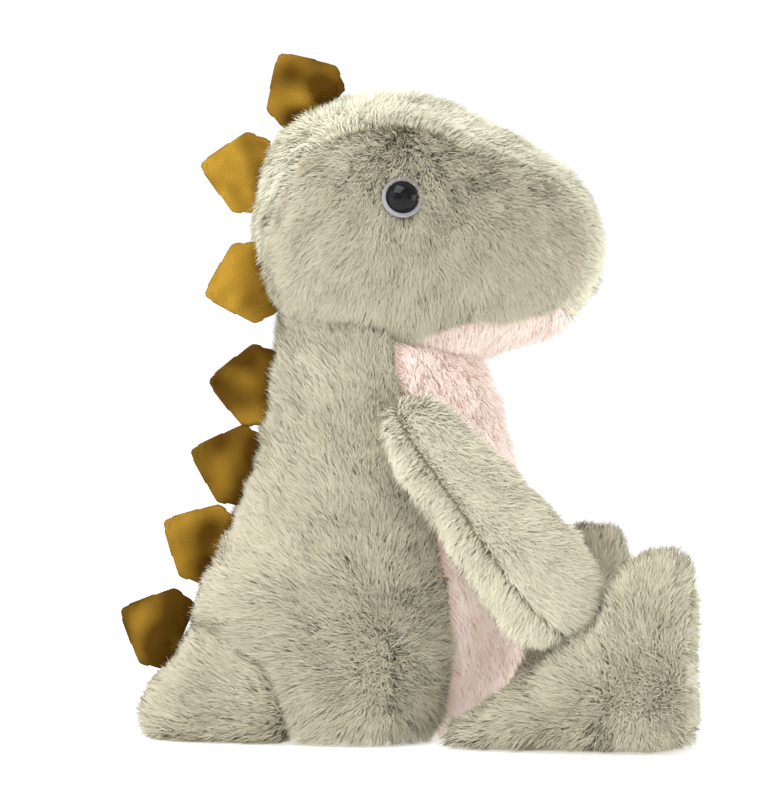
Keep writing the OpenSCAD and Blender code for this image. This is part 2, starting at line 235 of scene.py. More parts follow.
def pile_group():
    """Colour of a blade: root to tip along its length, shifted by its own and its tuft's chance and
    by painted shade beside seams and other parts.
    """
    group, into, out = new_group(
        "pile colour",
        [("Along", "Float", 0.0), ("Blade", "Float", 0.5), ("Tuft and shade", "Float", 0.5),
         ("Root", "Color", (0.2, 0.2, 0.15, 1)), ("Middle", "Color", (0.5, 0.5, 0.4, 1)),
         ("Tip", "Color", (0.8, 0.8, 0.7, 1))],
        [("Color", "Color")])
    place = math_node(group, "ADD", into.outputs["Along"],
                      math_node(group, "MULTIPLY",
                                math_node(group, "SUBTRACT", into.outputs["Blade"], 0.5), 0.22))
    place = math_node(group, "ADD", place,
                      math_node(group, "MULTIPLY",
                                math_node(group, "SUBTRACT", into.outputs["Tuft and shade"], 0.5), 0.45))
    low = group.nodes.new("ShaderNodeMapRange")
    low.inputs["From Min"].default_value = 0.0
    low.inputs["From Max"].default_value = 0.5
    group.links.new(place, low.inputs["Value"])
    high = group.nodes.new("ShaderNodeMapRange")
    high.inputs["From Min"].default_value = 0.45
    high.inputs["From Max"].default_value = 1.05
    group.links.new(place, high.inputs["Value"])
    lower = mix_color(group, low.outputs[0], into.outputs["Root"], into.outputs["Middle"])
    color = mix_color(group, high.outputs[0], lower, into.outputs["Tip"])
    group.links.new(color, out.inputs["Color"])
    return group


def weave_group():
    """Fine threads in two directions: a mask for colour and a height for bump."""
    group, into, out = new_group(
        "plain weave", [("Vector", "Vector", (0, 0, 0)), ("Threads", "Float", 900.0)],
        [("Mask", "Float")])
    waves = []
    for way in ("X", "Z"):
        wave = group.nodes.new("ShaderNodeTexWave")
        wave.bands_direction = way
        group.links.new(into.outputs["Vector"], wave.inputs["Vector"])
        group.links.new(into.outputs["Threads"], wave.inputs["Scale"])
        waves.append(wave.outputs["Fac"])
    group.links.new(math_node(group, "MULTIPLY", *waves), out.inputs["Mask"])
    return group


PILE = pile_group()
WEAVE = weave_group()


def new_material(name, roughness, **plain):
    """A material with one Principled BSDF, whose plain numbers are set on its own sockets."""
    material = bpy.data.materials.new(name)
    material.use_nodes = True
    shader = material.node_tree.nodes["Principled BSDF"]
    shader.inputs["Roughness"].default_value = roughness
    for label, value in plain.items():
        shader.inputs[label.replace("_", " ")].default_value = value
    return material, material.node_tree, shader


def pile_material(name, root, middle, tip, painted_glow=0.0):
    """Fur: the pile colour read from each blade's own numbers, with a soft sheen.

    The glow is painted light: the pile gives out light in its own colour, which stands for the
    light that pale fibres pass on to each other.
    """
    material, tree, shader = new_material(name, 0.85, Sheen_Weight=0.25, Sheen_Roughness=0.5,
                                          Specular_IOR_Level=0.2)
    own = tree.nodes.new("ShaderNodeAttribute")
    own.attribute_name = "blade"
    split = tree.nodes.new("ShaderNodeSeparateXYZ")
    tree.links.new(own.outputs["Vector"], split.inputs[0])
    pile = tree.nodes.new("ShaderNodeGroup")
    pile.node_tree = PILE
    for socket, label in zip(split.outputs, ("Along", "Blade", "Tuft and shade")):
        tree.links.new(socket, pile.inputs[label])
    for label, color in (("Root", root), ("Middle", middle), ("Tip", tip)):
        pile.inputs[label].default_value = (*color, 1)
    tree.links.new(pile.outputs["Color"], shader.inputs["Base Color"])
    # painted light: the pile's colour is given out as light
    if painted_glow:
        tree.links.new(pile.outputs["Color"], shader.inputs["Emission Color"])
        shader.inputs["Emission Strength"].default_value = painted_glow
    return material


def cloth_material(name, low, high, threads, bump):
    """Cloth: a weave and soft patches between two colours, with the weave as bump."""
    material, tree, shader = new_material(name, 0.95, Specular_IOR_Level=0.1)
    place = tree.nodes.new("ShaderNodeTexCoord").outputs["Object"]
    weave = tree.nodes.new("ShaderNodeGroup")
    weave.node_tree = WEAVE
    weave.inputs["Threads"].default_value = threads
    tree.links.new(place, weave.inputs["Vector"])
    patches = math_node(tree, "MULTIPLY", noise_node(tree, place, 160), 0.6)
    both = math_node(tree, "ADD", patches, math_node(tree, "MULTIPLY", weave.outputs["Mask"], 0.4))
    tree.links.new(mix_color(tree, both, (*low, 1), (*high, 1)), shader.inputs["Base Color"])
    height = tree.nodes.new("ShaderNodeBump")
    height.inputs["Strength"].default_value = bump
    height.inputs["Distance"].default_value = 0.0002
    tree.links.new(weave.outputs["Mask"], height.inputs["Height"])
    tree.links.new(height.outputs["Normal"], shader.inputs["Normal"])
    return material


SAGE = pile_material("sage_pile", (0.38, 0.355, 0.25), (0.52, 0.485, 0.35), (0.70, 0.66, 0.51))
# a paler copy of the sage pile for the arms: painted light, for the brighter light that falls on
# them
LIT_ARM_SAGE = pile_material("lit_arm_pile", (0.52, 0.485, 0.35), (0.70, 0.665, 0.50), (0.86, 0.83, 0.66))
PALE_SAGE = pile_material("pale_sage_pile", (0.58, 0.56, 0.41), (0.76, 0.73, 0.56),
                          (0.88, 0.86, 0.70))
# the peach pile gives out painted light in its own colour
PEACH = pile_material("peach_pile", (0.94, 0.76, 0.66), (0.95, 0.82, 0.74), (0.96, 0.88, 0.82),
                      painted_glow=0.13)
SAGE_BACKING = cloth_material("sage_backing", (0.30, 0.28, 0.19), (0.40, 0.37, 0.27), 700, 0.4)
PEACH_BACKING = cloth_material("peach_backing", (0.90, 0.72, 0.62), (0.94, 0.78, 0.69), 700, 0.4)

# %% [markdown]
# ## Shapes of the soft parts
# Each part is a function of two numbers, the same profiles that its frame was drawn from, in
# millimetres. deep is the distance inside the outline of the fur: 0 is where the tips end, and
# SKIN is where the cloth lies.

# %% Shapes: head
SKIN = 5.6
HEAD_C = np.array([-5.8, 0.0, 190.6])
SIDE_EDGES = [[-120, 1], [-104, 2], [-98, 26], [-80, 42], [-45, 40], [-24, 28], [5, 25],
              [30, 38], [55, 42], [100, 37], [150, 32], [178, 18], [196, 2], [240, 1]]


def head_outline(phi):
    """Round cranium, plus a snout bump around -8 degrees and a low bump at the crown."""
    reach = phi + 8
    spread = np.where(reach > 0, 38, 33)
    return (54.6 + 27 * np.exp(-(np.abs(reach) / spread) ** 2.3)
            + 4 * np.exp(-(((phi - 142) / 24) ** 2)))


def head(phi, side, deep):
    """phi runs round the outline from the snout over the top, side from outline to cheek."""
    r = (head_outline((phi + 120) % 360 - 120) - deep) * np.cos(np.radians(side))
    turn = np.radians(phi)
    return np.stack([HEAD_C[0] + r * np.cos(turn), -(50 - deep) * np.sin(np.radians(side)),
                     HEAD_C[2] + r * np.sin(turn)], -1)


# %% Shapes: torso
WIDE_X = -14.0
RIM_Z = 151.5
BELLY_TOP = 150.0
BACK = [[0, -62], [5, -68], [15, -74], [30, -79.5], [45, -83.5], [60, -79.5], [80, -69],
        [100, -61.5], [120, -56.5], [138, -54], [148, -52], [158, -51]]
FRONT = [[0, 24], [5, 31], [15, 38], [30, 44], [45, 46.5], [60, 47], [80, 45],
         [100, 42], [120, 37.5], [138, 31.5], [144, 26]]
WIDE = [[0, 40], [5, 44.5], [15, 47], [30, 49], [45, 49.5], [60, 49.5], [80, 47],
        [100, 44.5], [120, 42.5], [140, 40], [151, 38]]
PINCH = [[0, 0.45], [15, 0.52], [30, 0.45], [45, 0.3], [60, 0.12], [80, 0], [150, 0]]
BELLY = [[0, 60], [15, 61], [30, 62], [60, 67], [100, 75], [138, 84], [150, 84]]


def torso(theta, v, deep):
    """theta turns round the torso from straight ahead, v climbs from the seat to the neck."""
    turn = np.radians(theta)
    ahead = np.cos(turn) > 0
    rim = RIM_Z - 38 * math.tan(math.radians(10.4)) * np.cos(turn)
    low = 0.3 + deep * 0.5
    h = low + v * (rim - low)
    reach = np.where(ahead, curve(FRONT, h) - WIDE_X, WIDE_X - curve(BACK, h)) - deep
    side = curve(WIDE, h) * (1 - np.where(ahead, curve(PINCH, h) * np.cos(turn), 0)) - deep
    return np.stack([WIDE_X + reach * np.cos(turn), side * np.sin(turn), h], -1)


# %% Shapes: tail
TAIL_FROM, TAIL_END = 31.0, 105.0
TAIL_TOP = [[31, 44], [58, 46], [75, 46], [84, 44.5], [90, 36], [95, 28.5], [101, 24], [105, 14]]
TAIL_WIDE = [[31, 20], [36, 28], [42, 32.5], [50, 35.5], [58, 36.4], [64, 35.4], [70, 32.5],
             [76, 29], [85, 25], [95, 20], [101, 15], [105, 6]]


def power(c, p):
    """A power that keeps the sign of c."""
    return np.sign(c) * np.abs(c) ** p


def tail(alpha, v, deep):
    """alpha turns about the tail's length, v runs from its root to its blunt end."""
    turn = np.radians(alpha)
    back = TAIL_FROM + v * (TAIL_END - deep - TAIL_FROM)
    top = curve(TAIL_TOP, back + deep * v) - deep
    low = 0.3 + deep * 0.2
    wide = np.maximum(curve(TAIL_WIDE, back + deep * v) - deep, 0.5)
    boxy = np.where(np.sin(turn) < 0, 0.3, 0.75)
    return np.stack([-back, -wide * power(np.cos(turn), boxy),
                     (top + low) / 2 + (top - low) / 2 * power(np.sin(turn), 0.75)], -1)


# %% Shapes: arms and legs
ARM_HIGH = [[0, 7], [2, 11], [6, 13.8], [13, 16], [28, 17.6], [43, 18.8], [58, 20.4], [73, 21.8],
            [85, 22.4], [96, 21.6], [103, 19.6], [108, 16], [111, 11], [112.5, 5.5]]
ARM_THICK = [[0, 5.5], [2, 7.5], [6, 9.5], [13, 11], [28, 12.5], [43, 14], [58, 15.5], [73, 16.5],
             [85, 16.5], [96, 14.5], [103, 12], [108, 9.5], [112.5, 5.5]]
LEG_TOP = [[-7, 7], [0, 11], [5, 14], [15, 19], [28, 29], [38, 38], [49, 48.5], [56, 51.5],
           [60, 57], [66, 68.5], [72, 73.5], [77, 76], [84, 75], [90, 67], [92, 62]]
LEG_WIDE = [[-7, 5], [0, 12], [15, 17], [28, 20], [49, 24], [70, 25], [80, 25], [88, 23.5],
            [92, 21]]
LEG_LOW = [[-7, 3], [0, 1], [10, 0.3], [76, 0.3], [86, 3], [92, 8]]
ARM_LEN = 112.5
ARM_SLANT, ARM_DROOP = -9, 52.4
SHOULDER = [-13.5, -48.5, 130.8]
LEG_TABLE, LEG_LEN = 92, 88.0    # the profiles run to 92 and are fitted to 88 mm
LEG_SPLAY = -17
LEG_BACK = -6.5           # where the leg begins, behind the hip
HIP = [11, -44.5, 0]


def turned(points, about, degrees):
    """Points turned by the right-hand rule about an axis, 'y' or 'z'."""
    c, s = math.cos(math.radians(degrees)), math.sin(math.radians(degrees))
    x, y, z = points[..., 0], points[..., 1], points[..., 2]
    if about == "y":
        return np.stack([x * c + z * s, y, z * c - x * s], -1)
    return np.stack([x * c - y * s, x * s + y * c, z], -1)


def arm(alpha, v, deep):
    """The right arm: v from shoulder to paw, alpha round it."""
    turn = np.radians(alpha)
    station = v * ARM_LEN
    s = deep * 0.8 + v * (ARM_LEN - 1.6 * deep)
    local = np.stack([s, np.maximum(curve(ARM_THICK, station) - deep, 0.3) * np.cos(turn),
                      np.maximum(curve(ARM_HIGH, station) - deep, 0.3) * np.sin(turn)], -1)
    return turned(turned(local, "z", ARM_SLANT), "y", ARM_DROOP) + SHOULDER


def leg(alpha, v, deep):
    """The right leg: v from hip to sole, alpha round it."""
    turn = np.radians(alpha)
    d = LEG_BACK + deep * 0.6 + v * (LEG_TABLE - LEG_BACK - deep * 1.2)
    top = curve(LEG_TOP, d) - deep
    low = curve(LEG_LOW, d) + deep * 0.6
    top = np.maximum(top, low + 1)
    wide = np.maximum(curve(LEG_WIDE, d) - deep, 1)
    local = np.stack([d * LEG_LEN / LEG_TABLE, wide * power(np.cos(turn), 0.85),
                      (top + low) / 2 + (top - low) / 2 * power(np.sin(turn), 0.85)], -1)
    return turned(local, "z", LEG_SPLAY) + HIP


def mirrored(points, sign):
    """The right-hand shape, or its twin on the left."""
    return points * np.array([1, -sign, 1])


# %% [markdown]
# ## Growing the pile
# A blade is one quad and one triangle: root, middle and tip. Its root is scattered evenly over
# the skin. It starts out steep and bends over along the nap, its tip is drawn towards the middle
# of its tuft, and beside a seam it is shorter and leans away, which leaves the dark parting line
# that shows where two panels meet. Beside a seam or another part its colour is also darkened
# with painted shade.

# %% Growing the pile
def scatter(shape, count, rng):
    """Roots spread evenly by area: many tries in the unit square, kept in proportion to area."""
    step = 1e-3
    found = []
    need = count
    biggest = None
    while need > 0:
        u, v = rng.uniform(0.001, 0.998, (2, int(count * 2.5)))
        here = shape(u, v, SKIN)
        du = (shape(u + step, v, SKIN) - here) / step
        dv = (shape(u, v + step, SKIN) - here) / step
        area = np.linalg.norm(np.cross(du, dv), axis=-1)
        biggest = biggest or np.percentile(area, 99.5)
        keep = rng.uniform(0, biggest, len(u)) < area
        found.append(np.stack([u[keep], v[keep]]))
        need -= keep.sum()
    return np.concatenate(found, 1)[:, :count]


def blades(name, shape, count, nap, seed, material, length=7.2, lean=40.0, width=0.29,
           seams=(True, True), tuft=1.7, gather=0.32, wild=0.27, bare=None, cut=None,
           fade=None):
    """Pile over shape(u, v, deep). The skin is at depth SKIN and up is towards depth 0.

    nap(points) gives the way the tips point, and bare is (centre, radius) of a spot with none.
    cut(points) is the distance outside another part: there is no pile inside that part, and
    what grows beside it is short and darker with painted shade, which draws the crease between the
    two. fade is where along u a seam's parting and its painted shade begin to close.
    """
    rng = np.random.default_rng(seed)
    u, v = scatter(shape, count, rng)
    step = 1e-3
    root = shape(u, v, SKIN)
    if bare:
        keep = np.linalg.norm(root - bare[0], axis=-1) > bare[1]
        u, v, root = u[keep], v[keep], root[keep]
    if cut:
        keep = cut(root) > -1.5
        u, v, root = u[keep], v[keep], root[keep]
    count = len(u)
    across_u = shape(u + step, v, SKIN) - root
    across_v = shape(u, v + step, SKIN) - root
    normal = unit(np.cross(across_u, across_v))
    outward = shape(u, v, 0.0) - root
    normal *= np.sign((normal * outward).sum(-1, keepdims=True))
    way = nap(root)
    strength = np.linalg.norm(way, axis=-1)
    calm = 1 - ease(strength * 1.6)
    way = way + 0.13 * np.stack([ripple(root, 24, seed + k) for k in (1, 2, 3)], -1)
    way = way + (0.12 + 0.5 * calm[:, None]) * rng.normal(0, 1, (count, 3))
    size = length * (1 + 0.08 * ripple(root, 13, seed + 4) + rng.normal(0, 0.10, count))
    tilt = lean * (0.75 + 0.25 * strength) + 5 * ripple(root, 10, seed + 5)
    tilt = tilt + rng.normal(0, 8, count)
    # painted shade: this darkens the pile's colour beside another part and beside a seam
    painted_shade = np.zeros(count)
    if cut:
        near = 1 - ease((cut(root) + 1.5) / 5.5)
        size = size * (1 - 0.5 * near)
        painted_shade = np.maximum(painted_shade, near)
    for on, end in zip(seams, (0.0, 1.0)):
        if on:
            from_seam = root - shape(u, np.full_like(v, end), SKIN)
            gap = np.linalg.norm(from_seam, axis=-1)
            part = 1 - ease((u - fade) / 0.3) * 0.85 if fade else np.ones(count)
            near = (1 - ease(gap / 6)) * part
            way = way + unit(from_seam) * near[:, None] * 0.8
            size = size * (1 - 0.5 * (1 - ease(gap / 3.5)) * part)
            tilt = tilt - 8 * near
            painted_shade = np.maximum(painted_shade, (1 - ease(gap / 3)) * part)
    if bare:
        from_spot = root - bare[0]
        gap = np.linalg.norm(from_spot, axis=-1) - bare[1]
        below = np.clip(0.35 - from_spot[:, 2] / bare[1], 0, 1)
        near = (1 - ease(gap / 4)) * below
        way = way + unit(from_spot) * near[:, None] * 1.6
        tilt = tilt + 18 * near
        size = size * (1 - 0.3 * near)
    way = unit(way - normal * (way * normal).sum(-1, keepdims=True))
    tilt = np.radians(np.clip(tilt, 8, 78))[:, None]
    size = np.maximum(size, 2)[:, None]
    first = unit(normal * np.cos(tilt * 0.5) + way * np.sin(tilt * 0.5))
    second = unit(normal * np.cos(tilt * 1.35) + way * np.sin(tilt * 1.35))
    stray = rng.normal(0, wild, (count, 3))
    middle = root + unit(first + stray * 0.5) * size * 0.5
    tip = middle + unit(second + stray) * size * 0.5

    # tufts: roots that share a cell lean to the cell's own middle
    warp = root + 0.8 * np.stack([ripple(root, 7, seed + k) for k in (6, 7, 8)], -1)
    cell = np.floor(warp / tuft).astype(np.int64)
    key = cell[:, 0] * 73856093 ^ cell[:, 1] * 19349663 ^ cell[:, 2] * 83492791
    _, who = np.unique(key, return_inverse=True)
    members = np.bincount(who)
    heart = np.stack([np.bincount(who, tip[:, k]) / members for k in range(3)], -1)
    tuft_chance = rng.uniform(0, 1, len(members))
    pull = gather * rng.uniform(0.2, 1, len(members))
    toward = (heart[who] - tip) * pull[who, None]
    tip = tip + toward
    middle = middle + toward * 0.25

    along = unit(tip - root)
    flat = unit(np.cross(along, normal))
    roll = rng.uniform(-0.9, 0.9, count)[:, None]
    across = flat * np.cos(roll) + np.cross(along, flat) * np.sin(roll)
    half = width / 2 * rng.uniform(0.7, 1.3, count)[:, None]
    points = np.stack([root - across * half, root + across * half, middle + across * half * 0.85,
                       middle - across * half * 0.85, tip], 1).reshape(-1, 3)
    low = points[:, 2] < 1.5
    points[low, 2] = 1.5 * np.exp((points[low, 2] - 1.5) / 1.5)
    base = (np.arange(count) * 5)[:, None]
    corners = (base + np.array([0, 1, 2, 3, 3, 2, 4])).ravel()
    sizes = np.tile([4, 3], count)
    piece = fill_mesh(name, points * MM, corners, sizes)

    facing = np.cross(across, along)
    facing *= np.sign((facing * normal).sum(-1, keepdims=True))
    shade = unit(normal * 0.8 + facing * 0.25 + rng.normal(0, 0.06, (count, 3)))
    lit = piece.data.attributes.new("custom_normal", "FLOAT_VECTOR", "POINT")
    lit.data.foreach_set("vector", np.repeat(shade, 5, 0).astype(np.float32).ravel())
    blade_chance = rng.uniform(0, 1, count)
    cloud = 0.5 + 0.2 * ripple(root, 20, seed + 9)
    own = np.empty((count, 5, 3), np.float32)
    own[:, :, 0] = [0, 0, 0.5, 0.5, 1]
    own[:, :, 1] = blade_chance[:, None]
    # third number: the tuft's chance and soft patches, lowered by painted shade beside seams and
    # parts, and paler where the nap is calm
    own[:, :, 2] = (0.5 * tuft_chance[who] + 0.5 * cloud - 0.6 * painted_shade + 0.5 * calm)[:, None]
    marks = piece.data.attributes.new("blade", "FLOAT_VECTOR", "POINT")
    marks.data.foreach_set("vector", own.ravel())
    piece.data.materials.append(material)
    print(name, count, "blades")
    return piece


def away_from(x, z, y=0.0):
    """A nap that runs outwards from a whorl at (x, z) on the side of the toy."""
    def nap(points):
        d = points - [x, 0, z]
        d[..., 1] = 0
        return d / (np.linalg.norm(d, axis=-1, keepdims=True) + 20)
    return nap


def one_way(*way):
    """A nap that points the same way everywhere."""
    def nap(points):
        return np.broadcast_to(unit(np.array(way, float)), points.shape)
    return nap


def edge(phi):
    """Where the head's side panels begin, in degrees out from the outline."""
    return curve(SIDE_EDGES, phi)


# %% [markdown]
# ## Head
# Two side panels, a gusset from the snout over the crown to the nape, and a peach chin. The nap
# runs down and away from the brow, over the cheek and towards the snout.

# %% Head: skin and the eyes' places
EYE = {place: np.array([-9.6, 48.1 * sign, 204.2]) for place, sign in SIDES.items()}


def add(piece, body, finish, *nodes):
    """A piece: it rides on body, and the nodes it stands for are hidden. finish is not used."""
    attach(piece, body)
    if nodes:
        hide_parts(*nodes)


def two_cloths(skin, inside):
    """Peach backing on the quads where inside holds, sage on the others."""
    skin.data.materials.append(SAGE_BACKING)
    skin.data.materials.append(PEACH_BACKING)
    index = np.zeros(len(skin.data.polygons), np.int32)
    index[:inside.size] = inside.ravel()
    skin.data.polygons.foreach_set("material_index", index)


phi, side = np.meshgrid(np.linspace(0, 360, 72, endpoint=False), np.linspace(-88, 88, 40))
head_skin = ring_skin("head_skin", head(phi, side, SKIN))
around = (phi[:-1] + 122.5) % 360 - 120
across = (side[:-1] + side[1:]) / 2
two_cloths(head_skin, (around > -103) & (around < -24) & (np.abs(across) < edge(around)))
add(head_skin, "head", "sage_fur", "head_side_right", "head_side_left", "head_gusset")


# %% Head: pile
def head_side(sign):
    """A side panel: u round the head, v from its seam to the cheek."""
    def shape(u, v, deep):
        around = -120 + 360 * u
        e = edge(around)
        return mirrored(head(around, e + (89.5 - e) * v, deep), sign)
    return shape


def gusset(u, v, deep):
    """The centre strip: u from the snout over the top to the nape, v across it."""
    around = -24 + 217 * u
    e = edge(around) - 0.5
    return head(around, e - 2 * e * v, deep)


def chin(u, v, deep):
    """The chin panel: u from the neck to the snout, v across it."""
    around = -103 + 79 * u
    e = edge(around) - 0.5
    return head(around, e - 2 * e * v, deep)


brow = away_from(4, 248)
crown = away_from(-32, 238)
for place, sign in SIDES.items():
    fur = blades(f"head_fur_{place}", head_side(sign), 62000, brow, 110 + int(sign),
                 SAGE, seams=(True, False), bare=(EYE[place] - [0, 0, 1.6], 6.9))
    add(fur, "head", "sage_fur")
fur = blades("gusset_fur", gusset, 50000, crown, 120, PALE_SAGE,
             lean=46, gather=0.1, wild=0.16, length=6.8)
add(fur, "head", "sage_fur")
fur = blades("chin_fur", chin, 18000, one_way(-0.5, 0, -1), 130, PEACH,
             width=0.34, gather=0.2)
add(fur, "head", "peach_fur", "chin_panel")

# %% [markdown]
# ## Torso and tail
# The torso's nap spreads from a whorl low on each hip, where the leg is sewn on, so the pile on
# the back points up and backwards. The belly is one peach panel.

# %% Torso and tail
theta, v = np.meshgrid(np.linspace(0, 360, 72, endpoint=False), np.linspace(0, 1, 40))
torso_skin = ring_skin("torso_skin", torso(theta, v, SKIN))
around = (theta[:-1] + 182.5) % 360 - 180
up = (v[:-1] + v[1:]) / 2
two_cloths(torso_skin, np.abs(around) < curve(BELLY, up * BELLY_TOP))
add(torso_skin, "torso", "sage_fur", "torso_side_right", "torso_side_left", "seat_panel")


def beyond_torso(points):
    """How far a point lies outside the torso's skin, measured across the toy."""
    x, y, h = points[..., 0], points[..., 1], points[..., 2]
    ahead = x > WIDE_X
    reach = np.where(ahead, curve(FRONT, h) - WIDE_X, WIDE_X - curve(BACK, h)) - SKIN
    half = (curve(WIDE, h) - SKIN) * np.sqrt(np.clip(1 - ((x - WIDE_X) / reach) ** 2, 0, 1))
    return np.abs(y) - half


def beyond_tail(points):
    """How far a point lies outside the tail's skin, measured across the toy."""
    back, y, h = -points[..., 0], points[..., 1], points[..., 2]
    wide = curve(TAIL_WIDE, back) - SKIN
    top = curve(TAIL_TOP, back) - SKIN
    rise = np.clip((h - top / 2) / (top / 2), 0, 1)
    half = wide * (1 - rise ** 2.67) ** 0.375
    off = np.abs(y) - half
    off = np.where(h > top, 10.0, off)
    return np.where((back < TAIL_FROM) | (back > 103), 10.0, off)


def torso_side(sign):
    """A side panel: u up the torso, v from the middle of the back to the belly's seam."""
    def shape(u, v, deep):
        e = curve(BELLY, u * BELLY_TOP)
        return mirrored(torso(-180 + (180 - e) * v, u, deep), sign)
    return shape


def belly(u, v, deep):
    """The belly panel: u up the front, v across it."""
    e = curve(BELLY, u * BELLY_TOP)
    return torso(-e + 2 * e * v, u, deep)


hip_whorl = away_from(-7, 29)
for place, sign in SIDES.items():
    fur = blades(f"torso_fur_{place}", torso_side(sign), 64000, hip_whorl,
                 140 + int(sign), SAGE, seams=(False, True), cut=beyond_tail)
    add(fur, "torso", "sage_fur")
fur = blades("belly_fur", belly, 38000, one_way(-0.2, 0, -1), 150, PEACH,
             width=0.34, gather=0.1, wild=0.18, lean=48)
add(fur, "torso", "peach_fur", "belly_panel")

alpha, v = np.meshgrid(np.linspace(0, 360, 48, endpoint=False), np.linspace(0, 1, 24))
tail_skin = ring_skin("tail_skin", tail(alpha, v, SKIN))
tail_skin.data.materials.append(SAGE_BACKING)
add(tail_skin, "tail", "sage_fur", "tail_side_right", "tail_side_left",
    "tail_stuffing")
fur = blades("tail_fur", lambda u, v, deep: tail(360 * u, v, deep), 44000,
             one_way(-1, 0, 0.55), 160, SAGE, seams=(False, False), cut=beyond_torso)
add(fur, "tail", "sage_fur")

# %% [markdown]
# ## Arms and legs
# An arm is two panels. The seam that shows runs down its outer face, and the pile on each side
# leans away from it. A leg is two panels and an oval sole, and its nap spreads from the ankle.

# %% Arms
alpha, v = np.meshgrid(np.linspace(0, 360, 48, endpoint=False), np.linspace(0, 1, 32))


def limb_panel(limb, sign, start, sweep):
    """A panel of an arm or leg: u along it, v across from one seam to the other."""
    def shape(u, v, deep):
        return mirrored(limb(start + sweep * v, u, deep), sign)
    return shape


for place, sign in SIDES.items():
    body = f"arm_{place}"
    skin = ring_skin(f"arm_skin_{place}", mirrored(arm(alpha, v, SKIN), sign))
    skin.data.materials.append(SAGE_BACKING)
    add(skin, body, "sage_fur", f"arm_outer_{place}", f"arm_inner_{place}")
    fur = blades(f"arm_outer_fur_{place}", limb_panel(arm, sign, 80, 129), 24000,
                 one_way(0.8, 0, -0.75), 170 + int(sign), LIT_ARM_SAGE, fade=0.4)
    add(fur, body, "sage_fur")
    fur = blades(f"arm_inner_fur_{place}", limb_panel(arm, sign, 209, 231), 28000,
                 one_way(-0.35, 0, -1), 180 + int(sign), LIT_ARM_SAGE, fade=0.4)
    add(fur, body, "sage_fur")


# %% Legs
def sole(sign):
    """The sole: u round its rim, v from its middle out to the rim."""
    def shape(u, v, deep):
        rim = leg(360 * u, np.ones_like(u), SKIN)
        middle = np.array([80.6, -2.2, 39.0])
        middle = turned(middle, "z", LEG_SPLAY) + HIP
        push = turned(np.array([SKIN - deep, 0.0, 0.0]), "z", LEG_SPLAY)
        return mirrored(middle + (rim - middle) * v[..., None] + push, sign)
    return shape


for place, sign in SIDES.items():
    body = f"leg_{place}"
    skin = ring_skin(f"leg_skin_{place}", mirrored(leg(alpha, v, SKIN), sign))
    skin.data.materials.append(SAGE_BACKING)
    add(skin, body, "sage_fur", f"leg_outer_{place}", f"leg_inner_{place}", f"foot_sole_{place}")
    fur = blades(f"leg_fur_{place}", limb_panel(leg, sign, 90, 360), 50000,
                 away_from(73, 14), 190 + int(sign), SAGE)
    add(fur, body, "sage_fur")
    fur = blades(f"sole_fur_{place}", sole(sign), 9000, away_from(84, 60),
                 195 + int(sign), PALE_SAGE, seams=(False, True), lean=36)
    add(fur, body, "sage_fur")

# %% [markdown]
# ## Back plates
# Seven little velvet cushions, each two rounded pentagons sewn together, turned out and barely
# filled. Cloth simulation gives the swell and the small puckers by the seam. It is done twenty
# times too large, because the solver dislikes millimetres, and then scaled back.

# %% Back plates: simulation
PLATES = [[-37.2, 239, 122], [-57.3, 212.4, 170], [-56.1, 173.7, 196], [-54.2, 132.4, 173.5],
          [-61.6, 101.4, 162], [-73.8, 71, 151], [-89.5, 39.3, 155]]
CORNERS = np.array([[-14, -3], [14, -3], [16.4, 8.0], [0, 24.6], [-16.4, 8.0]])
GROW = 20.0
SIDE_POINTS = 40      # points along each side of the outline
BEND_PASSES = 48      # how many times the outline is smoothed: more gives rounder corners
SWELL_CAP = 1.3       # how far the cloth may puff out, in mm
PLATE_REACH = 22.5    # from a plate's root to its tip, in mm


def pentagon():
    """The outline: straight edges between the corners, with each corner cut by a smooth bend."""
    legs = np.roll(CORNERS, -1, 0) - CORNERS
    t = np.linspace(0, 1, SIDE_POINTS, endpoint=False)
    line = (CORNERS[:, None] + legs[:, None] * t[None, :, None]).reshape(-1, 2)
    for _ in range(BEND_PASSES):
        line = line * 0.5 + (np.roll(line, 1, 0) + np.roll(line, -1, 0)) * 0.25
    return line


